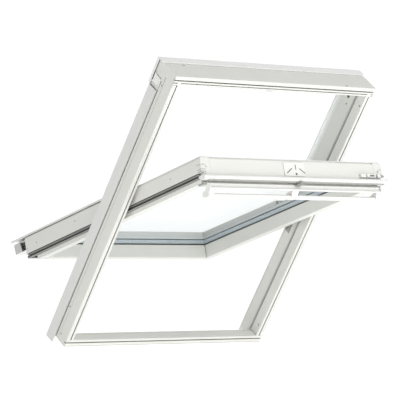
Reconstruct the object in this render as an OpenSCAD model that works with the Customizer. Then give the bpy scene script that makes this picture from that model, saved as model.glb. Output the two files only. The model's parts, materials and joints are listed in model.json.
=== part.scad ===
// Centre-pivot roof window: a frame pitched with the roof and a glazed sash that
// turns about a horizontal axis near mid height, shown swung open.
// World axes: +X along the sill, +Y away from the room, +Z up.
// The origin is the middle of the bottom rail's outer face.

/* [Opening size] */
// Outer width of the frame
frame_w = 780; // [600:5:1000]
// Outer length of the frame, along the slope
frame_l = 980; // [860:5:1400]
// Depth of the frame, from its outside face to the room side
frame_d = 90; // [86:1:110]
// Slope of the frame above the horizontal, in degrees
roof_pitch = 54.5; // [30:0.5:75]
// Angle that the sash stands open, in degrees
open_angle = 40; // [0:1:80]

/* [Frame members] */
// Width of a side member and of the bottom rail on the room side
side_w = 26; // [24:1:34]
// Width of the top rail on the room side
top_w = 30; // [26:1:36]
// Width of the top rail behind the sash's upper end
top_inner_w = 50; // [44:1:52]
// Depth of the bottom rail
bottom_rail_d = 39; // [34:1:39]
// Distance of the lining groove's middle from the outer edge
lining_inset = 15; // [12:0.5:18]
// Width of the lining groove
lining_w = 4; // [3:0.5:6]
// Depth of the lining groove
lining_deep = 8; // [5:1:10]
// Depth from the outside face to the seal line on the inner faces
seal_line = 50; // [48:1:52]
// Width of the seal groove on the inner faces
seal_w = 8; // [5:1:10]
// Depth of the seal groove on the inner faces
seal_deep = 3; // [2:0.5:4]
// Depth at which the lower half of a side member starts
lower_start = 8; // [4:1:12]

/* [Outside covers] */
// Height of the side cladding on the outer faces
cladding_h = 38; // [30:1:44]
// Distance that the cladding stands off the frame's outer face
cladding_out = 5; // [3:0.5:8]
// Sheet thickness of the covers
sheet = 2; // [1.5:0.5:3]
// Distance from the top edge to the upper end of the side cladding
cladding_top = 84; // [70:1:110]
// Distance that the side cladding runs on past the sill
cladding_drip = 23; // [10:1:40]
// Height of the head flashing's upright flange
head_flange_h = 26; // [20:1:34]
// Height of the upper side covers above the outside face
upper_cover_h = 26; // [18:1:34]

/* [Pivot] */
// Distance of the pivot axis below the middle of the frame, along the slope
pivot_low = 38; // [0:1:60]
// Depth of the pivot axis behind the outside face
pivot_n = 19; // [17:1:22]
// Radius of the pivot pins
pivot_r = 6; // [4:0.5:8]
// Radial clearance of the pivot pins
pivot_clear = 0.08; // [0.05:0.01:0.3]

/* [Sash] */
// Gap between the sash and a side member
side_gap = 11.6; // [9:0.2:16]
// Gap from the frame's upper edge down to the sash's upper end
head_gap = 80; // [78:1:110]
// Distance that the sash's lower end stands past the sill face
sill_lap = 30; // [10:1:50]
// Height of the sash's outside face above the pivot axis, lower half
sash_out_lower = 53; // [50:1:60]
// Height of the sash's outside face above the pivot axis, upper half
sash_out_upper = 44; // [42:1:48]
// Depth of the sash's room side below the pivot axis
sash_in = 30; // [28:1:30]
// Width of a sash stile
stile_w = 34.4; // [32:0.2:48]
// Width of the sash's top rail
sash_top_w = 58; // [50:1:70]
// Width of the sash's bottom rail
sash_bottom_w = 68; // [60:1:80]
// Width of the step that carries the sash seals
step_w = 9; // [7:0.5:10]
// Distance that the top seal strip stands past the sash's upper end
top_lip = 18; // [8:1:18]
// Depth below the pivot axis at which the top seal strip starts
top_lip_m = 12; // [10:1:14]

/* [Glazing] */
// Thickness of the outer and inner panes
pane_t = 4; // [3:0.5:6]
// Gap between the panes
pane_gap = 12; // [10:1:16]
// Height of the inner pane's room side above the pivot axis
pane_m = 14; // [12:1:18]
// Depth of the glazing rebate
rebate = 12; // [9:1:14]
// Clearance round the glazing unit
pane_clear = 2; // [1:0.5:3]

/* [Ventilation flap] */
// Gap between each end of the flap and the sash's seal step
flap_gap = 9.4; // [8:0.2:40]
// Distance of the flap's own axis below the sash's upper end
flap_in = 11; // [9:0.5:14]
// Radius of the flap's hinge rod
flap_rod_r = 2.5; // [2:0.5:3]
// Width of the control bar
bar_w = 22; // [16:1:26]
// Thickness of the control bar
bar_t = 10; // [8:1:12]
// Width of an end bracket
bracket_w = 24; // [16:1:32]

/* [Fittings] */
// Length of the lock plate on the sash's upper end
lock_w = 80; // [60:1:100]
// Height of the lock plate
lock_h = 42; // [36:1:46]
// Radius of the barrel bolt's rod
bolt_r = 3.4; // [2.5:0.1:4]
// Radial clearance of the barrel bolt
bolt_clear = 0.1; // [0.05:0.05:0.3]
// Length of the barrel bolt's housing
bolt_case_l = 66; // [50:1:80]
// Travel of the barrel bolt
bolt_travel = 24; // [20:1:25]
// Radius of the bracket screw holes in the side members
fix_r = 2.5; // [1.5:0.5:3]
// Depth of the upper bracket screw holes
fix_upper_deep = 16; // [12:1:20]
// Depth of the lower bracket screw holes
fix_lower_deep = 14; // [10:1:18]
// Radius of a countersunk screw head
screw_r = 3.5; // [2:0.5:4]

/* [Hidden] */
$fn = 48;
cut = 1;
half_w = frame_w / 2;
pivot_v = frame_l / 2 - pivot_low;
inner_x = half_w - side_w;
sill_mid = frame_d - bottom_rail_d / 2;
sill_n = frame_d - bottom_rail_d;
// depths of the frame's outside surfaces
out_n = -3;
upper_n = -10;
hood_n = -12;
step_n = seal_line - seal_w / 2;
clad_lo = -5;
clad_hi = clad_lo + cladding_h;
hatch_hi = clad_hi + 16;
clad_v1 = frame_l - cladding_top;
hood_v = frame_l - 74;
top_v = frame_l - top_w;
top_inner_v = frame_l - top_inner_w;
// the sash's half width, its glass edge and its seal step
sash_x = inner_x - side_gap;
glass_x = sash_x - stile_w;
cover_x = glass_x + 3;
rebate_x = glass_x + rebate;
deep_x = sash_x - step_w;
step_m = 1;
sash_up = frame_l - head_gap - pivot_v;
sash_down = pivot_v + sill_lap;
flap_t = sash_up - flap_in;
top_t = sash_up - sash_top_w;
bottom_t = sash_down - sash_bottom_w;
deep_t = bottom_t + 24;
pane_x = rebate_x - pane_clear;
pane_t0 = -bottom_t - rebate + pane_clear;
pane_t1 = top_t + rebate - pane_clear;
pane_out = pane_m + pane_t * 2 + pane_gap;
cover_m = -sash_out_lower - 6;
upper_cover_m = -sash_out_upper - 3;
nose_t = sash_down + 62;
cover_end = sash_down + 76;
lip_m = top_lip_m + 14;
ledge_t = flap_t - 8;
// the flap, its bar and the pieces behind them
flap_m = sash_in;
flap_x = deep_x - flap_gap;
blade_x = flap_x - 3;
bar_x = flap_x - 20;
rod_x = deep_x - 0.4;
// depth of the control bar's front face below the flap's axis
bar_m1 = 41.5;
// the lock and the barrel bolt
latch_x = 5;
lock_x = 0;
bracket_x = -9;
latch_w = 16;
latch_m0 = 29;
latch_m1 = 35;
keeper_n = pivot_n + latch_m1 + 1;
bolt_x = sash_x - bolt_case_l - 36.4;
bolt_t = sash_up + 6;
bolt_tip = sash_x - 3.4;
knob_x = bolt_x + 31;
bush_x = inner_x + 14;
// screws: distance along the slope and depth
side_screws = [[frame_l - 98, 24], [frame_l - 71, frame_d - 10], [62, frame_d - 11]];
head_screws = [[69 - half_w, 21], [half_w - 117, frame_d - 7]];
stile_screws = [[63 - sash_down, -20], [8 - sash_down, -15], [-200, -30], [300, -20]];
end_screws = [[-glass_x - 16.5, -16], [glass_x + 16.5, -16]];
// depths of the slots in the comb joint at the sash's upper corners
comb_m = [-22.5, -8, -1.5, 4.5];
fix_n = clad_hi + 10;
fix_holes = [[frame_l - 60, fix_upper_deep], [120, fix_lower_deep]];

// ---- placing -------------------------------------------------------------

// x along the sill, y up the slope from the sill face, z from outside to room
module in_frame() {
    rotate([180 - roof_pitch, 0, 0])
        translate([0, 0, -sill_mid]) children();
}

// x along the sill, y up the sash from the pivot axis, z towards the room
module in_sash() {
    in_frame()
        translate([0, pivot_v, pivot_n])
            rotate([open_angle, 0, 0]) children();
}

// a (y, z) outline drawn along x, centred
module along_x(len) {
    rotate([90, 0, 90])
        linear_extrude(len, center = true) children();
}

// a (y, z) outline drawn from one x to another
module from_to_x(x0, x1) {
    translate([(x0 + x1) / 2, 0, 0]) along_x(x1 - x0) children();
}

// an (x, z) outline drawn along y
module along_y(y0, y1) {
    translate([0, y1, 0])
        rotate([90, 0, 0])
            linear_extrude(y1 - y0) children();
}

module both_sides() {
    children();
    mirror([1, 0, 0]) children();
}

module box(x0, x1, y0, y1, z0, z1) {
    translate([x0, y0, z0])
        cube([x1 - x0, y1 - y0, z1 - z0]);
}

// a pin or bore along x
module x_rod(r, x0, x1, y, z) {
    translate([x0, y, z])
        rotate([0, 90, 0]) cylinder(r = r, h = x1 - x0);
}

// a pin or bore along y
module y_rod(r, x, y0, y1, z) {
    translate([x, y0, z])
        rotate([-90, 0, 0]) cylinder(r = r, h = y1 - y0);
}

// ---- frame members -------------------------------------------------------

// cutters in (u, n), where u runs inwards from the frame's outer face:
// the knurled band below the cladding, and the line under it
module outer_face_cuts() {
    translate([-cut, clad_hi]) square([cut + 2, 2]);
    translate([-cut, clad_hi]) square([cut + 1, hatch_hi - clad_hi]);
    translate([-cut, hatch_hi - 1]) square([cut + 2, 1.5]);
}

// the groove that takes the room's lining board
module lining_cut() {
    translate([lining_inset - lining_w / 2, frame_d - lining_deep])
        square([lining_w, lining_deep + cut]);
}

// section of a side member in (x, n), right-hand side
module side_section(start) {
    translate([half_w, 0]) mirror([1, 0])
        difference() {
            polygon([[0, out_n], [side_w - 8, out_n], [side_w - 8, start], [side_w, start],
                [side_w, frame_d - 1.5], [side_w - 1.5, frame_d], [1.5, frame_d],
                [0, frame_d - 1.5]]);
            outer_face_cuts();
            lining_cut();
            // groove for the seal
            translate([side_w - seal_deep, step_n]) square([seal_deep + cut, seal_w]);
        }
}

module side_stile(has_bush) {
    in_frame() difference() {
        union() {
            along_y(0, pivot_v) side_section(lower_start);
            along_y(pivot_v, top_v) side_section(upper_n);
        }
        // notches for the bottom rail and for the top rail's deeper part
        box(inner_x - cut, half_w + cut, -cut, side_w, sill_n, frame_d + cut);
        box(inner_x - cut, half_w + cut, top_inner_v, frame_l, hood_n - cut, step_n);
        // bracket screw holes
        for (f = fix_holes)
            x_rod(fix_r, half_w - f[1], half_w + cut, f[0], fix_n);
        // hinge seat
        x_rod(pivot_r + 6, inner_x - cut, inner_x + 1, pivot_v, pivot_n);
        box(inner_x - cut, inner_x + 1, pivot_v - 60, pivot_v + 60, pivot_n - 10,
            pivot_n + 10);
        if (has_bush)
            x_rod(bolt_r + 3, inner_x - cut, bush_x, pivot_v + bolt_t, pivot_n);
        for (s = side_screws)
            x_rod(screw_r, inner_x - cut, inner_x + 2, s[0], s[1]);
    }
}

module frame_right_stile() {
    color("gainsboro") side_stile(true);
}

module frame_left_stile() {
    color("gainsboro") mirror([1, 0, 0]) side_stile(false);
}

module frame_top_rail() {
    color("gainsboro") in_frame() difference() {
        along_x(frame_w)
            translate([frame_l, 0]) mirror([1, 0])
                difference() {
                    polygon([[0, hood_n], [top_inner_w, hood_n], [top_inner_w, step_n],
                        [top_w, step_n], [top_w, frame_d - 1.5], [top_w - 1.5, frame_d],
                        [1.5, frame_d], [0, frame_d - 1.5]]);
                    translate([lining_inset - lining_w / 2 - 1, frame_d - lining_deep])
                        square([lining_w, lining_deep + cut]);
                    // shadow line on the room face
                    translate([top_w - 8.5, frame_d - 4]) square([2.5, 4 + cut]);
                }
        // recess for the strike plate
        box(latch_x - 32, latch_x + 32, top_v - cut, top_v + sheet, step_n + 7,
            frame_d - 6);
        for (s = head_screws)
            y_rod(screw_r, s[0], frame_l - 2, frame_l + cut, s[1]);
    }
}

// the side members stand on this rail
module frame_bottom_rail() {
    color("gainsboro") in_frame() along_x(frame_w)
        difference() {
            polygon([[0, sill_n], [side_w - 3, sill_n], [side_w, sill_n + 12],
                [side_w, frame_d - 1.5], [side_w - 1.5, frame_d], [1.5, frame_d],
                [0, frame_d - 1.5]]);
            lining_cut();
        }
}

// ---- frame covers --------------------------------------------------------

// folded sheet over the head: an outside plate, an upright flange and side wings
module head_flashing() {
    reach = head_flange_h - 12;
    wing_x = half_w + cladding_out;
    color("whitesmoke") in_frame() {
        along_x(2 * half_w)
            polygon([[hood_v, hood_n - sheet], [frame_l + 4, hood_n - sheet],
                [frame_l + 4, reach], [frame_l, reach], [frame_l, reach - sheet],
                [frame_l + 4 - sheet, reach - sheet], [frame_l + 4 - sheet, hood_n],
                [hood_v, hood_n]]);
        both_sides() {
            box(half_w, wing_x, hood_v, frame_l + 4, hood_n - sheet, hood_n);
            box(wing_x - sheet, wing_x, frame_l - 80, frame_l + 4, hood_n - sheet,
                clad_lo);
            box(half_w, wing_x, frame_l + 4 - sheet, frame_l + 4, hood_n - sheet, reach);
        }
    }
}

// folded sheet along the outer face of a side member
module side_cladding() {
    wing_x = half_w + cladding_out;
    in_frame() along_y(-cladding_drip, clad_v1)
        polygon([[half_w - 18, clad_lo], [wing_x, clad_lo], [wing_x, clad_hi],
            [half_w, clad_hi], [half_w, clad_hi - sheet], [wing_x - sheet, clad_hi - sheet],
            [wing_x - sheet, out_n], [half_w - 18, out_n]]);
}

module right_side_cladding() {
    color("gainsboro") side_cladding();
}

module left_side_cladding() {
    color("gainsboro") mirror([1, 0, 0]) side_cladding();
}

// fairing beside the upper half of the sash; its inner lip laps the sash's edge
module upper_cover() {
    tip_x = sash_x + 3;
    in_frame() along_y(pivot_v + 50, clad_v1)
        difference() {
            polygon([[tip_x, -upper_cover_h], [tip_x, 4 - upper_cover_h],
                [inner_x + 1, 8 - upper_cover_h], [inner_x + 1, upper_n],
                [inner_x + 8, upper_n], [inner_x + 8, clad_lo], [half_w + 2, clad_lo],
                [half_w + 2, clad_lo - 3], [inner_x + 14, -upper_cover_h]]);
            // shadow line in the sloping face
            translate([inner_x + 18, 7 - upper_cover_h]) circle(r = 1.2, $fn = 16);
        }
}

module right_upper_cover() {
    color("whitesmoke") upper_cover();
}

module left_upper_cover() {
    color("whitesmoke") mirror([1, 0, 0]) upper_cover();
}

// pointed plates that join the side member to the top rail
module corner_clips() {
    color("whitesmoke") in_frame() both_sides()
        from_to_x(half_w, half_w + cladding_out - sheet - 0.3)
            polygon([[frame_l - 39, -1], [frame_l - 43, 6], [frame_l - 46, 32],
                [frame_l - 60, 34], [frame_l - 70, 24], [frame_l - 71, -1]]);
}

// soft strips pressed into the grooves of the side members
module frame_seals() {
    color("gray") in_frame() both_sides()
        along_y(side_w + 4, top_inner_v - 4) {
            translate([inner_x - 2, step_n + 2]) square([seal_deep + 2, seal_w - 4]);
        }
}

// ---- frame fittings ------------------------------------------------------

// plate let into a side member, with the pivot pin that carries the sash
module frame_hinge() {
    in_frame() difference() {
        union() {
            box(inner_x - 3, inner_x + 1, pivot_v - 58, pivot_v + 58, pivot_n - 9,
                pivot_n + 9);
            x_rod(pivot_r + 6, inner_x - 3, inner_x + 1, pivot_v, pivot_n);
            x_rod(pivot_r, sash_x - 14, inner_x, pivot_v, pivot_n);
        }
        for (d = [-46, 46])
            x_rod(2.2, inner_x - 4, inner_x + 2, pivot_v + d, pivot_n);
    }
}

module right_frame_hinge() {
    color("silver") frame_hinge();
}

module left_frame_hinge() {
    color("silver") mirror([1, 0, 0]) frame_hinge();
}

// plate let into the top rail, with a tongue that the latch slides behind
module strike_plate() {
    color("silver") in_frame() difference() {
        union() {
            box(latch_x - 31, latch_x + 31, top_v, top_v + sheet, step_n + 8,
                frame_d - 7);
            box(latch_x - 10, latch_x + 10, top_v - 20, top_v + 1, keeper_n,
                keeper_n + sheet);
        }
        for (d = [-22, 22])
            y_rod(2, latch_x + d, top_v - cut, top_v + sheet + cut, step_n + 22);
    }
}

module bolt_bush() {
    color("silver") in_frame() difference() {
        x_rod(bolt_r + 3, inner_x, bush_x, pivot_v + bolt_t, pivot_n);
        x_rod(bolt_r + 0.4, inner_x - cut, bush_x - 1, pivot_v + bolt_t, pivot_n);
    }
}

module frame_screws() {
    color("silver") in_frame() {
        both_sides() {
            for (s = side_screws)
                x_rod(screw_r - 0.2, inner_x + 0.3, inner_x + 2, s[0], s[1]);
            for (d = [-46, 46])
                x_rod(2, inner_x - 2.6, inner_x + 1, pivot_v + d, pivot_n);
        }
        for (s = head_screws)
            y_rod(screw_r - 0.2, s[0], frame_l - 2, frame_l - 0.3, s[1]);
    }
}

// ---- sash members --------------------------------------------------------

// section of a stile in (x, m), right-hand side
module stile_section(out_m) {
    polygon([[glass_x, -pane_m], [glass_x, sash_in - 2], [glass_x + 2, sash_in],
        [deep_x - 1, sash_in], [deep_x, sash_in - 1], [deep_x, step_m],
        [sash_x, step_m], [sash_x, 4 - out_m], [sash_x - 3, 4 - out_m],
        [sash_x - 3, -out_m], [rebate_x, -out_m], [rebate_x, -pane_m]]);
}

module sash_stile() {
    in_sash() difference() {
        union() {
            along_y(-sash_down, -24) stile_section(sash_out_lower);
            along_y(-24, sash_up) stile_section(sash_out_upper);
            // the glazing rebate is closed at both ends
            box(glass_x, rebate_x + 1, -sash_down, -bottom_t - rebate, -sash_out_upper,
                -pane_m);
            box(glass_x, rebate_x + 1, top_t + rebate, sash_up, -sash_out_upper, -pane_m);
        }
        // the deep part stops short at both ends
        box(glass_x - cut, sash_x, -sash_down - cut, -deep_t, step_m, sash_in + cut);
        box(glass_x - cut, sash_x, ledge_t, sash_up + cut, top_lip_m, sash_in + cut);
        // hinge seat
        x_rod(pivot_r + 5, sash_x - 16, sash_x + cut, 0, 0);
        box(sash_x - 4, sash_x + cut, -50, 50, -9, 9);
        // shadow lines of the comb joint at the upper corner
        for (m = comb_m) {
            box(sash_x - 1.5, sash_x + cut, sash_up - 18, sash_up + cut, m - 0.9, m + 0.9);
            box(sash_x - 16, sash_x + cut, sash_up - 1.5, sash_up + cut, m - 0.9, m + 0.9);
        }
        for (s = stile_screws)
            x_rod(screw_r - 1, sash_x - 1.5, sash_x + cut, s[0], s[1]);
        for (s = end_screws)
            y_rod(screw_r - 1, abs(s[0]), sash_up - 1.5, sash_up + cut, s[1]);
    }
}

module sash_right_stile() {
    color("lightgray") sash_stile();
}

module sash_left_stile() {
    color("gainsboro") mirror([1, 0, 0]) sash_stile();
}

module sash_top_rail() {
    color("white") in_sash() difference() {
        along_x(2 * glass_x)
            polygon([[top_t, -pane_m], [top_t, sash_in - 2], [top_t + 2, sash_in],
                [top_t + 22, sash_in], [top_t + 28, sash_in - 8], [ledge_t, sash_in - 8],
                [ledge_t, top_lip_m], [sash_up - 2.5, top_lip_m],
                [sash_up, top_lip_m - 2.5], [sash_up, 4 - sash_out_upper],
                [sash_up - 3, 4 - sash_out_upper], [sash_up - 3, -sash_out_upper],
                [top_t + rebate, -sash_out_upper], [top_t + rebate, -pane_m]]);
        lock_slots();
    }
}

module sash_bottom_rail() {
    color("lightgray") in_sash()
        along_x(2 * glass_x)
            mirror([1, 0])
                polygon([[bottom_t, -pane_m], [bottom_t, sash_in - 2],
                    [bottom_t + 2, sash_in], [deep_t - 1, sash_in], [deep_t, sash_in - 1],
                    [deep_t, step_m], [sash_down, step_m], [sash_down, -sash_out_lower],
                    [bottom_t + rebate, -sash_out_lower], [bottom_t + rebate, -pane_m]]);
}

// ---- glazing -------------------------------------------------------------

module pane(m) {
    in_sash() box(-pane_x, pane_x, pane_t0, pane_t1, m, m + pane_t);
}

module inner_pane() {
    color("lightcyan", 0.4) pane(-pane_m - pane_t);
}

module outer_pane() {
    color("lightcyan", 0.4) pane(-pane_out);
}

module pane_spacer() {
    color("slategray") in_sash() difference() {
        box(-pane_x + 2, pane_x - 2, pane_t0 + 2, pane_t1 - 2, pane_t - pane_out,
            -pane_m - pane_t);
        box(-pane_x + 11, pane_x - 11, pane_t0 + 11, pane_t1 - 11, pane_t - pane_out - cut,
            -pane_m - pane_t + cut);
    }
}

// soft strip between the outer pane's edge and the covers
module glazing_gasket() {
    edge = rebate - pane_clear;
    color("gray") in_sash() difference() {
        box(-pane_x, pane_x, pane_t0, pane_t1, -sash_out_upper, -pane_out);
        box(-pane_x + edge, pane_x - edge, pane_t0 + edge, pane_t1 - edge,
            -sash_out_upper - cut, -pane_out + cut);
    }
}

// ---- sash covers ---------------------------------------------------------

// folded sheet over the outside of a stile's lower half, run on past its end
module sash_cover() {
    in_sash() {
        along_y(-cover_end, -26) {
            translate([cover_x, cover_m]) square([sash_x + 1 - cover_x, sheet]);
            translate([sash_x + 1 - sheet, cover_m]) square([sheet, 6]);
            translate([cover_x, cover_m]) square([sheet, 6]);
        }
        // the fold that seats on the stile, and the flange down to the glazing
        along_y(-sash_down, -26) {
            translate([rebate_x + 1, cover_m]) square([6, 6]);
            translate([cover_x, cover_m]) square([sheet, -sash_out_upper - cover_m]);
        }
    }
}

module right_sash_cover() {
    color("whitesmoke") sash_cover();
}

module left_sash_cover() {
    color("whitesmoke") mirror([1, 0, 0]) sash_cover();
}

// plate over the bottom rail that ends in a deep, hollow drip nose
module bottom_sash_cover() {
    wide = 2 * (cover_x - 0.3);
    color("whitesmoke") in_sash() mirror([0, 1, 0]) {
        along_x(wide)
            polygon([[bottom_t + 2, cover_m], [nose_t + 2, cover_m], [nose_t + 2, -44],
                [nose_t, -44], [nose_t, cover_m + sheet], [bottom_t + 22, cover_m + sheet],
                [bottom_t + 22, -sash_out_lower], [bottom_t + 14, -sash_out_lower],
                [bottom_t + 14, cover_m + sheet], [bottom_t + 4, cover_m + sheet],
                [bottom_t + 4, -sash_out_upper], [bottom_t + 2, -sash_out_upper]]);
        // the flange that is screwed to the bottom rail's outer face
        along_x(wide)
            translate([sash_down, -45]) square([5, 33]);
        along_x(2 * sash_x - 8)
            polygon([[sash_down + 4, -45], [nose_t, -45], [nose_t + 3, -42], [nose_t, -15],
                [nose_t - 2, -12], [sash_down + 4, -12], [sash_down + 4, -14],
                [nose_t - 3, -14], [nose_t - 2, -16], [nose_t + 0.9, -41.5],
                [nose_t - 1, -43], [sash_down + 4, -43]]);
    }
}

// moulded caps over the ends of the drip nose
module bottom_cover_caps() {
    color("darkgray") in_sash() mirror([0, 1, 0]) both_sides()
        from_to_x(sash_x - 4, sash_x - 1)
            polygon([[sash_down + 32, -45], [nose_t, -45], [nose_t + 3, -42], [nose_t, -15],
                [nose_t - 2, -12], [sash_down + 24, -12]]);
}

module top_sash_cover() {
    color("whitesmoke") in_sash() {
        box(-sash_x + 4, sash_x - 4, top_t + 3, sash_up - 3, upper_cover_m,
            -sash_out_upper);
        both_sides()
            box(cover_x, sash_x - 4, -23, top_t + 4, upper_cover_m, -sash_out_upper);
    }
}

// ---- seals ---------------------------------------------------------------

// base strip with two bulbs; a runs from the step's inner wall outwards
module seal_section() {
    translate([0, step_m]) square([2.5, 16]);
    translate([1, step_m + 1.5]) square([6, 4.5]);
    translate([1, step_m + 9]) square([7, 6]);
}

module sash_seals() {
    color("dimgray") in_sash() {
        // the strips are notched round the hinge cups
        both_sides()
            difference() {
                along_y(-sash_down + 2, ledge_t)
                    translate([deep_x, 0]) seal_section();
                x_rod(pivot_r + 5.3, deep_x - cut, sash_x + cut, 0, 0);
            }
        along_x(2 * deep_x)
            mirror([1, 0]) translate([sash_down - step_w, 0]) seal_section();
    }
}

// rounded strip on the sash's upper edge, in two lengths that meet near one corner
module strip_section() {
    polygon([[ledge_t + 9, top_lip_m], [sash_up + top_lip - 3, top_lip_m],
        [sash_up + top_lip, top_lip_m + 4], [sash_up + top_lip, lip_m - 4],
        [sash_up + top_lip - 4, lip_m], [sash_up - 1, lip_m], [sash_up - 5, lip_m - 5],
        [ledge_t + 9, lip_m - 6]]);
}

module top_seal_strip() {
    end_x = sash_x + 5.6;
    color("white") in_sash() {
        from_to_x(-glass_x - 4, end_x) strip_section();
        from_to_x(-end_x, -glass_x - 4.6) strip_section();
    }
}

// ---- sash fittings -------------------------------------------------------

// cup let into a stile's edge, which turns on the frame's pin
module sash_hinge() {
    in_sash() difference() {
        union() {
            box(sash_x - 4, sash_x, -50, 50, -9, step_m);
            x_rod(pivot_r + 5, sash_x - 16, sash_x, 0, 0);
        }
        x_rod(pivot_r + pivot_clear, sash_x - 15, sash_x + cut, 0, 0);
    }
}

module right_sash_hinge() {
    color("silver") sash_hinge();
}

module left_sash_hinge() {
    color("silver") mirror([1, 0, 0]) sash_hinge();
}

// a three-way slot, cut through the lock plate and a little into the rail
module lock_slots() {
    for (s = [[5, -22, 15, 90], [-20, -10.5, 26, 35], [30, -10.5, 26, -35]])
        translate([lock_x + s[0], 0, s[1]]) rotate([0, s[3], 0])
            box(-s[2] / 2, s[2] / 2, sash_up - 3, sash_up + 3, -1.4, 1.4);
    y_rod(4, lock_x + 5, sash_up - 3, sash_up + 3, -1);
}

module lock_plate() {
    color("white") in_sash() difference() {
        box(lock_x - lock_w / 2, lock_x + lock_w / 2, sash_up, sash_up + 2, 6 - lock_h, 6);
        lock_slots();
    }
}

// sleeve that carries the latch on the seal strip
module latch_guide() {
    x0 = latch_x - latch_w / 2;
    x1 = latch_x + latch_w / 2;
    color("silver") in_sash() difference() {
        box(x0 - 3, x1 + 3, sash_up + 4, sash_up + top_lip - 4, lip_m, latch_m1 + 2);
        box(x0 - 0.1, x1 + 0.1, sash_up, sash_up + top_lip, latch_m0 - 0.1,
            latch_m1 + 0.1);
    }
}

// housing and end guide of the barrel bolt, on the sash's upper end
module bolt_housing() {
    color("white") in_sash() difference() {
        union() {
            box(bolt_x + 6, bolt_x + bolt_case_l, sash_up, sash_up + 10, -5.5, 5);
            box(bolt_tip - 26, bolt_tip - 14, sash_up, sash_up + 10, -5.5, 5);
        }
        x_rod(bolt_r + bolt_clear, bolt_x + 14, bolt_tip, bolt_t, 0);
        // slot that the knob runs in
        box(knob_x - 5, knob_x + bolt_travel + 5, bolt_t, sash_up + 11, -2.8, 2.8);
    }
}

module sash_screws() {
    color("silver") in_sash() {
        both_sides()
            for (s = stile_screws)
                x_rod(screw_r - 1.2, sash_x - 1.5, sash_x - 0.3, s[0], s[1]);
        for (s = end_screws)
            y_rod(screw_r - 1.2, s[0], sash_up - 1.5, sash_up - 0.3, s[1]);
    }
}

// ---- ventilation flap and control bar ------------------------------------

// rod along the sash that the flap hangs on
module flap_hinge_rod() {
    color("silver") in_sash() x_rod(flap_rod_r, -rod_x, rod_x, flap_t, flap_m);
}

// arms on the stiles' room faces that hold the rod's ends
module flap_rod_bearings() {
    color("silver") in_sash() both_sides()
        difference() {
            from_to_x(flap_x + 1, rod_x) {
                translate([flap_t, flap_m]) circle(r = 4.5);
                polygon([[flap_t - 25, sash_in], [ledge_t, sash_in],
                    [flap_t - 4.4, flap_m - 1], [flap_t + 1, flap_m + 4.4],
                    [flap_t - 25, flap_m + 4.4]]);
            }
            x_rod(flap_rod_r, flap_x, rod_x + cut, flap_t, flap_m);
        }
}

// curved blade: a hollow front over a rounded lower edge
module flap_section() {
    difference() {
        union() {
            circle(r = 5);
            polygon([[-4, -2], [2, -4], [17, 11.5], [17, 20], [15.5, 22.5], [9, 21],
                [3, 17], [0, 10]]);
        }
        // the cove
        translate([22, 6]) circle(r = 13);
    }
}

module ventilation_flap() {
    color("white") in_sash() difference() {
        along_x(2 * blade_x)
            translate([flap_t, flap_m]) flap_section();
        x_rod(flap_rod_r + 0.08, -flap_x, flap_x, flap_t, flap_m);
    }
}

// moulded S-shaped caps that close the ends of the flap and of the bar
module flap_end_caps() {
    color("lightgray") in_sash() both_sides()
        difference() {
            from_to_x(blade_x, flap_x)
                translate([flap_t, flap_m]) {
                    circle(r = 5);
                    polygon([[-5, 0], [2, -4.5], [17, 11.5], [16.5, 22], [5, 31], [4, 41],
                        [0, 42], [-18, 41], [-26, 34], [-23, 23], [-11, 21], [0, 12]]);
                }
            x_rod(flap_rod_r + 0.08, blade_x - cut, flap_x + cut, flap_t, flap_m);
        }
}

// bar that the hand pulls, with its corners taken off and a groove along its front
module bar_section() {
    t0 = 4 - bar_w;
    m0 = bar_m1 - bar_t;
    polygon([[t0 + 2, m0], [3, m0], [3, m0 + 1], [1.5, m0 + 1], [1.5, m0 + 2.5], [4, m0 + 2.5],
        [4, bar_m1 - 2], [2, bar_m1], [t0 + 4, bar_m1], [t0, bar_m1 - 4], [t0, m0 + 2]]);
}

module control_bar() {
    color("white") in_sash() along_x(2 * bar_x)
        translate([flap_t, flap_m]) bar_section();
}

// short arms that hang the bar from the flap, at the ends and in the middle
module bracket_section() {
    polygon([[3, 17], [9, 21], [14, 22.15], [6, 31], [5, 41], [0, 42], [-18, 41], [-26, 34],
        [-23, 23], [-11, 21]]);
}

module bar_end_brackets() {
    color("lightgray") in_sash() both_sides()
        from_to_x(bar_x, blade_x)
            translate([flap_t, flap_m]) bracket_section();
}

module bar_centre_bracket() {
    color("white") in_sash()
        from_to_x(bracket_x - bracket_w / 2, bracket_x + bracket_w / 2)
            translate([flap_t, flap_m])
                difference() {
                    bracket_section();
                    bar_section();
                }
}

// ---- latch and bolt ------------------------------------------------------

// flat tongue that slides up the sash behind the strike plate
module latch_tongue() {
    color("silver") in_sash()
        box(latch_x - latch_w / 2, latch_x + latch_w / 2, sash_up + 3, sash_up + 24,
            latch_m0, latch_m1);
}

module bolt_rod() {
    color("silver") in_sash() difference() {
        x_rod(bolt_r, bolt_x + 16, bolt_tip, bolt_t, 0);
        y_rod(2.35, knob_x, bolt_t - 1, bolt_t + bolt_r + cut, 0);
    }
}

module bolt_knob() {
    color("white") in_sash() {
        y_rod(2.3, knob_x, bolt_t - 1, sash_up + 11.5, 0);
        y_rod(5, knob_x, sash_up + 10.5, sash_up + 15, 0);
    }
}

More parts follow.
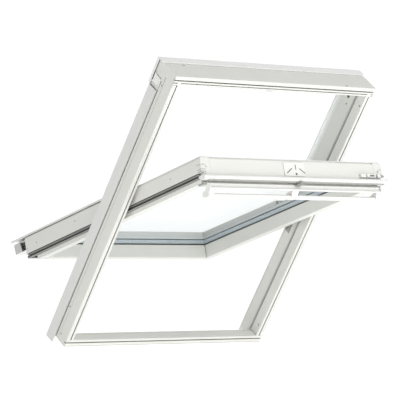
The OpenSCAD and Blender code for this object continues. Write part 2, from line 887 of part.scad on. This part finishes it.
frame_top_rail();
frame_bottom_rail();
frame_left_stile();
frame_right_stile();
head_flashing();
left_side_cladding();
right_side_cladding();
left_upper_cover();
right_upper_cover();
corner_clips();
frame_seals();
left_frame_hinge();
right_frame_hinge();
strike_plate();
bolt_bush();
frame_screws();
sash_top_rail();
sash_bottom_rail();
sash_left_stile();
sash_right_stile();
outer_pane();
inner_pane();
pane_spacer();
glazing_gasket();
left_sash_cover();
right_sash_cover();
bottom_sash_cover();
bottom_cover_caps();
top_sash_cover();
sash_seals();
top_seal_strip();
left_sash_hinge();
right_sash_hinge();
lock_plate();
latch_guide();
bolt_housing();
sash_screws();
flap_hinge_rod();
flap_rod_bearings();
ventilation_flap();
flap_end_caps();
control_bar();
bar_end_brackets();
bar_centre_bracket();
latch_tongue();
bolt_rod();
bolt_knob();
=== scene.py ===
import json
import math

import bmesh
import bpy
from mathutils import Matrix, Vector


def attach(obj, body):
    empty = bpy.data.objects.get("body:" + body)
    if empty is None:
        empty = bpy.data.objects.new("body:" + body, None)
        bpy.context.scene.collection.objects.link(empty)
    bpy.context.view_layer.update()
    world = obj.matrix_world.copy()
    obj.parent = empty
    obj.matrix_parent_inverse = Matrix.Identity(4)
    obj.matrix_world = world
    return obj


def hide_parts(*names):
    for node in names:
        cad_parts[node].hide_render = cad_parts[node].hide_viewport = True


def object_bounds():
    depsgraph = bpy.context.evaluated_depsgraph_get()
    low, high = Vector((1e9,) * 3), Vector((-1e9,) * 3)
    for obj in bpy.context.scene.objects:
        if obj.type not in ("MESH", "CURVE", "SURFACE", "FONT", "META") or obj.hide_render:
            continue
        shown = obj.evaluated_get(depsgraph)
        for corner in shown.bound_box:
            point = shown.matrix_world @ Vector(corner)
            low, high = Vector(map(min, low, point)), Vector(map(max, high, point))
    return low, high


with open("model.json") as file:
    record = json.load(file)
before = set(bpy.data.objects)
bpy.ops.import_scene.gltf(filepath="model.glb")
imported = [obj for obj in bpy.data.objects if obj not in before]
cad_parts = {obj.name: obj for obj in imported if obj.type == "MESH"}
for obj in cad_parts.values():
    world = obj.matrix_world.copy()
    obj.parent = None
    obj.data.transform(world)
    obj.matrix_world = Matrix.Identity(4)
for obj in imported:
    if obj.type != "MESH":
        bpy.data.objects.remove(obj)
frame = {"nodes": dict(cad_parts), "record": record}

cad_box = [list(corner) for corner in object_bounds()]


# ---- Studio -----------------------------------------------------------------------------------
# A seamless white paper sweep under two soft boxes. The window is seen from low in the room and
# well to its left; the far side of the studio is the brighter one.

def hex_linear(code):
    out = []
    for i in (0, 2, 4):
        c = int(code[i:i + 2], 16) / 255
        out.append(c / 12.92 if c <= 0.04045 else ((c + 0.055) / 1.055) ** 2.4)
    return (*out, 1.0)


def add_node(tree, kind, links=(), **settings):
    """One node: settings set its attributes or inputs, links are (input, source socket)."""
    node = tree.nodes.new(kind)
    for key, value in settings.items():
        if hasattr(node, key):
            setattr(node, key, value)
        else:
            node.inputs[key.replace("_", " ")].default_value = value
    for name, source in links:
        tree.links.new(source, node.inputs[name])
    return node


def new_material(name):
    material = bpy.data.materials.new(name)
    material.use_nodes = True
    material.node_tree.nodes.clear()
    return material, material.node_tree


def finish_material(tree, shader):
    end = tree.nodes.new("ShaderNodeOutputMaterial")
    tree.links.new(shader.outputs[0], end.inputs["Surface"])


camera = bpy.data.cameras.new("camera")
camera.lens = 214.0
camera.sensor_width = 36.0
camera.clip_start, camera.clip_end = 0.1, 100.0
camera_stand = bpy.data.objects.new("camera", camera)
camera_stand.location = (-4.577, -6.038, 0.239)
look = Vector((0.6166, 0.7869, 0.0276))
camera_stand.rotation_mode = "QUATERNION"
camera_stand.rotation_quaternion = look.to_track_quat("-Z", "Y")
bpy.context.scene.collection.objects.link(camera_stand)
bpy.context.scene.camera = camera_stand
bpy.context.scene.view_settings.view_transform = "Standard"

floor_low = cad_box[0][2]
floor_mesh = bpy.data.meshes.new("studio_floor")
floor_mesh.from_pydata([(-30, -30, 0), (30, -30, 0), (30, 30, 0), (-30, 30, 0)], [], [(0, 1, 2, 3)])
studio_floor = bpy.data.objects.new("studio_floor", floor_mesh)
studio_floor.location = (0, 0, floor_low - 0.002)
bpy.context.scene.collection.objects.link(studio_floor)
material, tree = new_material("white_paper_sweep")
finish_material(tree, add_node(tree, "ShaderNodeBsdfPrincipled", Base_Color=hex_linear("FDFDFC"),
                               Roughness=0.9, Emission_Color=hex_linear("FFFFFF"),
                               Emission_Strength=0.58))
floor_mesh.materials.append(material)

world = bpy.data.worlds.new("studio_light")
bpy.context.scene.world = world
world.use_nodes = True
tree = world.node_tree
tree.nodes.clear()
way = add_node(tree, "ShaderNodeTexCoord")
far_side = add_node(tree, "ShaderNodeVectorMath", [(0, way.outputs["Generated"])],
                    operation="DOT_PRODUCT")
far_side.inputs[1].default_value = (0.617, 0.787, 0.0)
level = add_node(tree, "ShaderNodeMapRange", [("Value", far_side.outputs["Value"])],
                 From_Min=0.1, From_Max=0.85, To_Min=0.3, To_Max=1.05)
sky = add_node(tree, "ShaderNodeBackground", [("Strength", level.outputs["Result"])],
               Color=hex_linear("FFFFFF"))
end = tree.nodes.new("ShaderNodeOutputWorld")
tree.links.new(sky.outputs[0], end.inputs["Surface"])

for name, place, size, power in (
    ("soft_box_room", (0.2, -3.2, 1.5), 1.6, 46.0),
    ("soft_box_left", (-2.3, -0.9, 0.9), 1.2, 6.5),
):
    lamp = bpy.data.lights.new(name, "AREA")
    lamp.shape = "DISK"
    lamp.size = size
    lamp.energy = power
    stand = bpy.data.objects.new(name, lamp)
    stand.location = place
    stand.rotation_mode = "QUATERNION"
    stand.rotation_quaternion = (Vector((0, -0.2, 0.4)) - stand.location).to_track_quat("-Z", "Y")
    bpy.context.scene.collection.objects.link(stand)


# ---- Frame members ----------------------------------------------------------------------------
# Top rail, bottom rail and two side members: a timber core moulded over with white polyurethane,
# a fine even skin with soft 0.8 mm edges. Grooves for seal and lining board run the whole length.

def rounded_copy(node, body, material, edge, least=0.015):
    """The node's own shape with its outer edges longer than least eased, standing for it."""
    shape = bmesh.new()
    shape.from_mesh(frame["nodes"][node].data)
    bmesh.ops.remove_doubles(shape, verts=shape.verts, dist=2e-5)
    bmesh.ops.dissolve_limit(shape, angle_limit=math.radians(1), verts=shape.verts,
                             edges=shape.edges)
    for face in shape.faces:
        face.smooth = False
    eased = [e for e in shape.edges
             if e.is_manifold and e.is_convex and e.calc_length() > least
             and e.calc_face_angle() > math.radians(30)]
    made = bmesh.ops.bevel(shape, geom=eased, offset=edge, segments=2, profile=0.5,
                           affect="EDGES", clamp_overlap=False, loop_slide=False)
    for face in made["faces"]:
        face.smooth = True
    mesh = bpy.data.meshes.new(node + "_eased")
    shape.to_mesh(mesh)
    shape.free()
    mesh.materials.append(material)
    piece = bpy.data.objects.new(node + "_eased", mesh)
    bpy.context.scene.collection.objects.link(piece)
    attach(piece, body)
    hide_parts(node)
    return piece


def moulded_white(name, skin, shade, rough, grain_mm, crevice_shade_depth=0.85):
    """White moulded or painted skin: fine grain, faint cloudiness, and painted shade darkening its
    grooves and corners.
    """
    material, tree = new_material(name)
    place = add_node(tree, "ShaderNodeTexCoord")
    cloud = add_node(tree, "ShaderNodeTexNoise", [("Vector", place.outputs["Object"])],
                     Scale=9.0, Detail=3.0)
    tone = add_node(tree, "ShaderNodeMix", [("Factor", cloud.outputs["Fac"])],
                    data_type="RGBA")
    tone.inputs[6].default_value = hex_linear(skin)
    tone.inputs[7].default_value = hex_linear(shade)
    # painted shade: ambient occlusion takes the colour towards dark grey in grooves and corners
    hollow = add_node(tree, "ShaderNodeAmbientOcclusion", Distance=0.006, samples=8)
    crevice_shade = add_node(tree, "ShaderNodeMapRange", [("Value", hollow.outputs["AO"])],
                    From_Min=0.2, From_Max=0.8, To_Min=crevice_shade_depth, To_Max=0.0)
    crevice_shaded = add_node(tree, "ShaderNodeMix",
                     [("Factor", crevice_shade.outputs["Result"]), (6, tone.outputs[2])],
                     data_type="RGBA")
    # the dark grey of the painted shade in the grooves
    crevice_shaded.inputs[7].default_value = hex_linear("494A47")
    grain = add_node(tree, "ShaderNodeTexNoise", [("Vector", place.outputs["Object"])],
                     Scale=1000.0 / grain_mm, Detail=2.0)
    relief = add_node(tree, "ShaderNodeBump", [("Height", grain.outputs["Fac"])],
                      Strength=0.12, Distance=0.0004)
    skin_rough = add_node(tree, "ShaderNodeMapRange", [("Value", grain.outputs["Fac"])],
                          To_Min=rough - 0.05, To_Max=rough + 0.07)
    finish_material(tree, add_node(
        tree, "ShaderNodeBsdfPrincipled",
        [("Base Color", crevice_shaded.outputs[2]), ("Roughness", skin_rough.outputs["Result"]),
         ("Normal", relief.outputs["Normal"])], IOR=1.49))
    return material


# moulded polyurethane: the grain is about 0.5 mm, drawn at 2.5 mm so that it shows at all
moulded_polyurethane = moulded_white("moulded_polyurethane", "E3E3DE", "DCDCD7", 0.42, 2.5)
for node in ("frame_top_rail", "frame_bottom_rail", "frame_left_stile", "frame_right_stile"):
    rounded_copy(node, "frame", moulded_polyurethane, 0.0008, 0.2)


def laid(origin, up, room):
    """Places x along the sill, y up the member and z towards the room."""
    return Matrix.Translation(origin) @ Matrix(((1, 0, 0), up, room)).transposed().to_4x4()


def span(node, place):
    """The node's lowest and highest corner in the axes of a place."""
    back = place.inverted()
    spots = [back @ v.co for v in frame["nodes"][node].data.vertices]
    return [Vector(edge(p[i] for p in spots) for i in range(3)) for edge in (min, max)]


def eased_blocks(name, place, blocks, body, material, edge=0.0002):
    """Small eased blocks, each a middle, a size and a turn about y, in the axes of a place."""
    shape = bmesh.new()
    for middle, size, turn in blocks:
        bmesh.ops.create_cube(shape, size=1.0, matrix=(
            place @ Matrix.Translation(middle) @ Matrix.Rotation(turn, 4, "Y")
            @ Matrix.Diagonal((*size, 1))))
    bmesh.ops.bevel(shape, geom=shape.edges[:], offset=edge, segments=2, profile=0.5,
                    affect="EDGES", clamp_overlap=True)
    mesh = bpy.data.meshes.new(name)
    shape.to_mesh(mesh)
    shape.free()
    mesh.materials.append(material)
    piece = bpy.data.objects.new(name, mesh)
    bpy.context.scene.collection.objects.link(piece)
    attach(piece, body)
    return piece


# moulded blocks that close the corners of the room-side lip, where the lining grooves meet
up_slope = -Vector(frame["record"]["mounts"][0]["axis"])
frame_place = laid(Vector((0, 0, 0)), up_slope, Vector((1, 0, 0)).cross(up_slope))
rail_high = span("frame_top_rail", frame_place)[1]
stile_low, stile_high = span("frame_right_stile", frame_place)
block = 0.013
eased_blocks("lip_corner_blocks", frame_place, [
    ((side * (stile_low.x + block / 2), stile_high.y + block / 2 - 0.0004, rail_high.z - 0.0028),
     (block, block, 0.0066), 0.0) for side in (-1, 1)
], "frame", moulded_polyurethane, 0.0008)


# ---- Frame covers -----------------------------------------------------------------------------
# Folded 2 mm aluminium, lacquered a light grey in the coil before it was cut and bent: smooth,
# a little glossier than the members, with faint lines along the rolling direction.

def lacquered_metal(name, paint, shade, rough):
    material, tree = new_material(name)
    place = add_node(tree, "ShaderNodeTexCoord")
    drawn = add_node(tree, "ShaderNodeMapping", [("Vector", place.outputs["Object"])])
    drawn.inputs["Scale"].default_value = (1.0, 0.04, 0.04)
    lines = add_node(tree, "ShaderNodeTexNoise", [("Vector", drawn.outputs["Vector"])],
                     Scale=260.0, Detail=2.0)
    cloud = add_node(tree, "ShaderNodeTexNoise", [("Vector", place.outputs["Object"])],
                     Scale=6.0, Detail=2.0)
    tone = add_node(tree, "ShaderNodeMix", [("Factor", cloud.outputs["Fac"])],
                    data_type="RGBA")
    tone.inputs[6].default_value = hex_linear(paint)
    tone.inputs[7].default_value = hex_linear(shade)
    # painted shade: ambient occlusion takes the lacquer towards dark grey 575856 in folds and
    # corners
    hollow = add_node(tree, "ShaderNodeAmbientOcclusion", Distance=0.012, samples=6)
    crevice_shade = add_node(tree, "ShaderNodeMapRange", [("Value", hollow.outputs["AO"])],
                    From_Min=0.25, From_Max=0.8, To_Min=0.5, To_Max=0.0)
    crevice_shaded = add_node(tree, "ShaderNodeMix",
                     [("Factor", crevice_shade.outputs["Result"]), (6, tone.outputs[2])],
                     data_type="RGBA")
    crevice_shaded.inputs[7].default_value = hex_linear("575856")
    relief = add_node(tree, "ShaderNodeBump", [("Height", lines.outputs["Fac"])],
                      Strength=0.05, Distance=0.0003)
    gloss = add_node(tree, "ShaderNodeMapRange", [("Value", lines.outputs["Fac"])],
                     To_Min=rough - 0.04, To_Max=rough + 0.05)
    finish_material(tree, add_node(
        tree, "ShaderNodeBsdfPrincipled",
        [("Base Color", crevice_shaded.outputs[2]), ("Roughness", gloss.outputs["Result"]),
         ("Normal", relief.outputs["Normal"])], IOR=1.5, Coat_Weight=0.25, Coat_Roughness=0.2))
    return material


coil_lacquered_aluminium = lacquered_metal("coil_lacquered_aluminium", "E4E5E2", "DCDDDA", 0.34)
lacquered_white_aluminium = lacquered_metal("lacquered_white_aluminium", "F2F3F1", "ECEDEB", 0.3)
for node in ("left_side_cladding", "right_side_cladding"):
    rounded_copy(node, "frame", coil_lacquered_aluminium, 0.0004)
for node in ("head_flashing", "left_upper_cover", "right_upper_cover", "corner_clips"):
    rounded_copy(node, "frame", lacquered_white_aluminium, 0.0004)


# ---- Seals ------------------------------------------------------------------------------------
# Extruded rubber strips pressed into the grooves of the frame and on to the step of the sash, and
# the tape between the outer pane and its covers: matt, from black to light grey, a little dusty.

def extruded_rubber(name, base, bloom):
    material, tree = new_material(name)
    place = add_node(tree, "ShaderNodeTexCoord")
    bloomed = add_node(tree, "ShaderNodeTexNoise", [("Vector", place.outputs["Object"])],
                       Scale=45.0, Detail=4.0)
    tone = add_node(tree, "ShaderNodeMix", [("Factor", bloomed.outputs["Fac"])],
                    data_type="RGBA")
    tone.inputs[6].default_value = hex_linear(base)
    tone.inputs[7].default_value = hex_linear(bloom)
    skin = add_node(tree, "ShaderNodeTexNoise", [("Vector", place.outputs["Object"])],
                    Scale=600.0, Detail=1.0)
    relief = add_node(tree, "ShaderNodeBump", [("Height", skin.outputs["Fac"])],
                      Strength=0.2, Distance=0.0003)
    finish_material(tree, add_node(
        tree, "ShaderNodeBsdfPrincipled",
        [("Base Color", tone.outputs[2]), ("Normal", relief.outputs["Normal"])],
        Roughness=0.78, IOR=1.5))
    return material


def dress(node, material):
    """Gives a node that keeps its own mesh its finish."""
    slots = frame["nodes"][node].material_slots
    for place in slots:
        place.material = material
    if not slots:
        frame["nodes"][node].data.materials.append(material)


# the sash's seal is grey, with two black stripes painted across it as the shade in its grooves;
# across is measured from the pivot axis towards the room, square to the sash
sash_way = Vector(frame["record"]["behaviour"]["joints"][2]["axis"])
pivot = Vector(frame["record"]["behaviour"]["joints"][0]["pos_m"])
room_way = Vector((1, 0, 0)).cross(sash_way).normalized()
sash_place = laid(pivot, sash_way, room_way)
# this dark rubber is only used for the painted gap shade along the cladding's edge
rubber = extruded_rubber("extruded_rubber", "2E2F2E", "4A4B49")
groove_shaded_rubber = extruded_rubber("groove_shaded_rubber", "8C8D89", "A2A39E")
tree = groove_shaded_rubber.node_tree
coat = next(n for n in tree.nodes if n.type == "BSDF_PRINCIPLED")
place = next(n for n in tree.nodes if n.type == "TEX_COORD")
depth = add_node(tree, "ShaderNodeVectorMath", [(0, place.outputs["Object"])],
                 operation="DOT_PRODUCT")
depth.inputs[1].default_value = room_way
across = add_node(tree, "ShaderNodeMapRange", [("Value", depth.outputs["Value"])],
                  From_Min=pivot.dot(room_way), From_Max=pivot.dot(room_way) + 0.020)
groove_shade_stripes = add_node(tree, "ShaderNodeValToRGB", [("Fac", across.outputs["Result"])])
groove_shade_stripes.color_ramp.interpolation = "CONSTANT"
for at, tint in ((0.0, 0.0), (0.1, 0.8), (0.2, 0.0), (0.5, 1.0), (0.68, 0.0)):
    stop = groove_shade_stripes.color_ramp.elements.new(at) if at else groove_shade_stripes.color_ramp.elements[0]
    stop.color = (tint, tint, tint, 1)
groove_shade_stripes.color_ramp.elements.remove(groove_shade_stripes.color_ramp.elements[-1])
# the black of the painted groove shade on the seal
black = add_node(tree, "ShaderNodeMix", [("Factor", groove_shade_stripes.outputs["Color"]),
                 (6, coat.inputs["Base Color"].links[0].from_socket)], data_type="RGBA")
black.inputs[7].default_value = hex_linear("262726")
tree.links.new(black.outputs[2], coat.inputs["Base Color"])
frame_rubber = extruded_rubber("extruded_grey_rubber", "A4A5A1", "B4B5B0")
dress("frame_seals", frame_rubber)

# a black rubber strip in the groove along the cladding's edge, put there as painted shade for the
# gap, and grey mastic in the one beside it
clad_high = span("right_side_cladding", frame_place)[1]
wall = stile_high.x
run_mid, run_l = (clad_high.y + 0.001) / 2, clad_high.y - 0.001
for name, start, wide, material in (("cladding_gap_shade_strip", 0.0, 0.0022, rubber),
                                    ("cladding_mastic", 0.0152, 0.0013, frame_rubber)):
    eased_blocks(name, frame_place, [
        ((side * (wall - 0.0016), run_mid, clad_high.z + start + wide / 2),
         (0.0010, run_l, wide), 0.0) for side in (-1, 1)
    ], "frame", material)
dress("sash_seals", groove_shaded_rubber)
dress("glazing_gasket", extruded_rubber("butyl_glazing_tape", "D8DBDC", "E2E4E5"))


# ---- Hinges, strike plate and screws ----------------------------------------------------------
# Pressed steel, zinc plated and clear passivated: a soft grey metal with faint spangle. Screws
# are countersunk with a cross recess.

def plated_steel(name, base, shade, rough):
    material, tree = new_material(name)
    place = add_node(tree, "ShaderNodeTexCoord")
    spangle = add_node(tree, "ShaderNodeTexVoronoi", [("Vector", place.outputs["Object"])],
                       Scale=140.0)
    tone = add_node(tree, "ShaderNodeMix", [("Factor", spangle.outputs["Color"])],
                    data_type="RGBA")
    tone.inputs[6].default_value = hex_linear(base)
    tone.inputs[7].default_value = hex_linear(shade)
    gloss = add_node(tree, "ShaderNodeMapRange", [("Value", spangle.outputs["Distance"])],
                     To_Min=rough, To_Max=rough + 0.2)
    finish_material(tree, add_node(
        tree, "ShaderNodeBsdfPrincipled",
        [("Base Color", tone.outputs[2]), ("Roughness", gloss.outputs["Result"])],
        Metallic=1.0))
    return material


zinc_plated_steel = plated_steel("zinc_plated_steel", "C4C5C2", "B2B4B2", 0.32)
for node in ("left_frame_hinge", "right_frame_hinge", "strike_plate", "bolt_bush",
             "left_sash_hinge", "right_sash_hinge", "latch_guide", "flap_hinge_rod",
             "flap_rod_bearings", "latch_tongue", "bolt_rod"):
    dress(node, zinc_plated_steel)


def cross_head(shape, place, radius):
    """A countersunk head: a low dome round a cross recess, looking along the place's z."""
    arm, wing, dish, sides = radius * 0.16, radius * 0.62, radius * 0.35, 24
    rims = []
    for r, z in ((radius, -dish), (radius, 0.0), (radius * 0.9, radius * 0.06)):
        rims.append([shape.verts.new(place @ Vector((r * math.cos(a), r * math.sin(a), z)))
                     for a in (math.tau * i / sides for i in range(sides))])
    outline = [(wing, -arm), (wing, arm), (arm, arm)]
    corners = [(c * x - n * y, n * x + c * y) for c, n in ((1, 0), (0, 1), (-1, 0), (0, -1))
               for x, y in outline]
    top = [shape.verts.new(place @ Vector((x, y, radius * 0.1))) for x, y in corners]
    deep = [shape.verts.new(place @ Vector((x * 0.8, y * 0.8, -dish))) for x, y in corners]
    for low, high in ((rims[0], rims[1]), (rims[1], rims[2]), (top, deep)):
        for i in range(len(low)):
            k = (i + 1) % len(low)
            shape.faces.new((low[i], low[k], high[k], high[i]))
    shape.faces.new(deep)
    shape.edges.index_update()
    gap = [shape.edges.get((ring[i], ring[(i + 1) % len(ring)]))
           for ring in (rims[2], top) for i in range(len(ring))]
    bmesh.ops.triangle_fill(shape, use_beauty=True, use_dissolve=False, edges=gap)


def screw_heads(node, body, inwards, ways):
    """Puts a cross-recessed head on each of a node's screws, facing where it was driven from."""
    source = bmesh.new()
    source.from_mesh(frame["nodes"][node].data)
    bmesh.ops.remove_doubles(source, verts=source.verts, dist=2e-5)
    waiting = set(source.verts)
    heads = bmesh.new()
    while waiting:
        island, front = set(), [waiting.pop()]
        while front:
            vert = front.pop()
            island.add(vert)
            front += [v for e in vert.link_edges for v in e.verts if v in waiting]
            waiting -= set(front)
        spots = [v.co.copy() for v in island]
        middle = sum(spots, Vector()) / len(spots)
        reach = {tuple(w): max(p.dot(w) for p in spots) - min(p.dot(w) for p in spots)
                 for w in ways}
        way = Vector(min(reach, key=reach.get))
        if abs(way.x) > 0.5:
            way = Vector((math.copysign(1.0, middle.x) * (-1 if inwards else 1), 0, 0))
        radius = max(reach.values()) / 2
        face = middle + way * (max(p.dot(way) for p in spots) - middle.dot(way) - radius * 0.1)
        cross_head(heads, Matrix.Translation(face) @ way.to_track_quat("Z", "Y").to_matrix()
                   .to_4x4(), radius * 0.98)
    bmesh.ops.recalc_face_normals(heads, faces=heads.faces)
    mesh = bpy.data.meshes.new(node + "_heads")
    heads.to_mesh(mesh)
    heads.free()
    source.free()
    mesh.materials.append(zinc_plated_steel)
    piece = bpy.data.objects.new(node + "_heads", mesh)
    bpy.context.scene.collection.objects.link(piece)
    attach(piece, body)
    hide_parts(node)


screw_heads("frame_screws", "frame", True, (Vector((1, 0, 0)), up_slope))
screw_heads("sash_screws", "sash", False, (Vector((1, 0, 0)), sash_way))


# ---- Sash members -----------------------------------------------------------------------------
# Two stiles and two rails, moulded like the frame and comb-jointed at the corners. They carry
# the glazing in a rebate and the seals on a step.

for node in ("sash_top_rail", "sash_bottom_rail", "sash_left_stile", "sash_right_stile"):
    rounded_copy(node, "sash", moulded_polyurethane, 0.0008)


# ---- Glazing ----------------------------------------------------------------------------------
# Two panes of 4 mm float glass, 16 mm apart, on a spacer bar of grey mill-finish aluminium with
# a row of small breather holes. The glass is clear and almost without a tint.

material, tree = new_material("clear_float_glass")
place = add_node(tree, "ShaderNodeTexCoord")
film = add_node(tree, "ShaderNodeTexNoise", [("Vector", place.outputs["Object"])], Scale=3.0)
haze = add_node(tree, "ShaderNodeMapRange", [("Value", film.outputs["Fac"])],
                To_Min=0.0, To_Max=0.04)
clear = add_node(tree, "ShaderNodeBsdfTransparent", Color=hex_linear("FDFEFE"))
gloss = add_node(tree, "ShaderNodeBsdfGlossy", [("Roughness", haze.outputs["Result"])],
                 Color=hex_linear("FFFFFF"))
facing = add_node(tree, "ShaderNodeLayerWeight", Blend=0.25)
shine = add_node(tree, "ShaderNodeMapRange", [("Value", facing.outputs["Facing"])],
                 From_Min=0.2, To_Min=0.01, To_Max=0.09)
finish_material(tree, add_node(tree, "ShaderNodeMixShader", [
    ("Fac", shine.outputs["Result"]), (1, clear.outputs[0]), (2, gloss.outputs[0])]))
dress("outer_pane", material)
dress("inner_pane", material)

material, tree = new_material("mill_finish_spacer")
place = add_node(tree, "ShaderNodeTexCoord")
holes = add_node(tree, "ShaderNodeTexVoronoi", [("Vector", place.outputs["Object"])], Scale=160.0)
pricked = add_node(tree, "ShaderNodeMapRange", [("Value", holes.outputs["Distance"])],
                   From_Min=0.15, From_Max=0.3)
tone = add_node(tree, "ShaderNodeMix", [("Factor", pricked.outputs["Result"])],
                data_type="RGBA")
tone.inputs[6].default_value = hex_linear("9AA6AE")
tone.inputs[7].default_value = hex_linear("CBD4DA")
finish_material(tree, add_node(
    tree, "ShaderNodeBsdfPrincipled", [("Base Color", tone.outputs[2])],
    Metallic=0.5, Roughness=0.5))
dress("pane_spacer", material)


# ---- Sash covers ------------------------------------------------------------------------------
# The same lacquered sheet, folded over the outside of the sash; the lower one ends in a deep
# hollow nose that throws the rain clear, closed by moulded caps.

for node in ("left_sash_cover", "right_sash_cover", "bottom_sash_cover", "top_sash_cover"):
    rounded_copy(node, "sash", coil_lacquered_aluminium, 0.0004)

# injection-moulded ABS: smoother and glossier than the members; the nose caps are grey and duller
moulded_abs = moulded_white("moulded_abs", "EBEBE8", "E5E5E1", 0.3, 1.5)
grey_abs = moulded_white("moulded_grey_abs", "CDCECB", "C4C5C2", 0.4, 1.5)
rounded_copy("bottom_cover_caps", "sash", grey_abs, 0.0004)


# ---- Top seal strip ---------------------------------------------------------------------------
# A rounded white strip of extruded plastic on the sash's upper edge, in two lengths with a gap
# for the latch between them, and a grey rubber draught seal along its underside.

rounded_copy("top_seal_strip", "sash", moulded_abs, 0.0012)

# the draught seal stops short of the latch on both sides
strip_high = span("top_seal_strip", sash_place)[1]
guide_low, guide_high = span("latch_guide", sash_place)
seal_end = span("sash_right_stile", sash_place)[1].x - 0.012
seal_t, seal_m = strip_high.y - 0.0085, strip_high.z + 0.0008
eased_blocks("top_draught_seal", sash_place, [
    (((guide_low.x - 0.001 - seal_end) / 2, seal_t, seal_m),
     (guide_low.x - 0.001 + seal_end, 0.011, 0.0030), 0.0),
    (((guide_high.x + 0.001 + seal_end) / 2, seal_t, seal_m),
     (seal_end - guide_high.x - 0.001, 0.011, 0.0030), 0.0),
], "sash", frame_rubber, 0.0008)


# ---- Lock plate and barrel bolt ---------------------------------------------------------------
# A white moulded plate with a three-way slot, and a white moulded housing for the small bolt
# that holds the sash shut or turned over for cleaning.

rounded_copy("lock_plate", "sash", moulded_abs, 0.0004)

# dark steel blocks in the lock plate's slots, painted shade for the depth of the slots behind the
# plate
lock_low, lock_high = span("lock_plate", sash_place)
lock_mid = (lock_low.x + lock_high.x) / 2
slot_floor = lock_low.y - 0.0006
dark_steel = plated_steel("slot_shade_steel", "5A5A58", "494948", 0.45)
eased_blocks("lock_slot_shade_blocks", sash_place, [
    ((lock_mid + 0.005, slot_floor, -0.022), (0.0026, 0.003, 0.0150), 0.0),
    ((lock_mid - 0.020, slot_floor, -0.0105), (0.0250, 0.003, 0.0026), math.radians(35)),
    ((lock_mid + 0.030, slot_floor, -0.0105), (0.0250, 0.003, 0.0026), math.radians(-35)),
], "sash", dark_steel)
rounded_copy("bolt_housing", "sash", moulded_abs, 0.0005)
dress("bolt_knob", moulded_abs)


# ---- Ventilation flap and control bar ---------------------------------------------------------
# Extruded aluminium, powder coated white, smooth and slightly glossy; its ends are closed by
# S-shaped mouldings, and short moulded arms carry the bar.

# powder coat: an even white film, with only the faintest lines of the extrusion under it
powder_coated = lacquered_metal("powder_coated_aluminium", "E9E9E6", "E3E3DF", 0.3)
rounded_copy("ventilation_flap", "flap", powder_coated, 0.0006)
rounded_copy("control_bar", "flap", powder_coated, 0.0006)
for node in ("flap_end_caps", "bar_end_brackets", "bar_centre_bracket"):
    rounded_copy(node, "flap", moulded_abs, 0.0005)
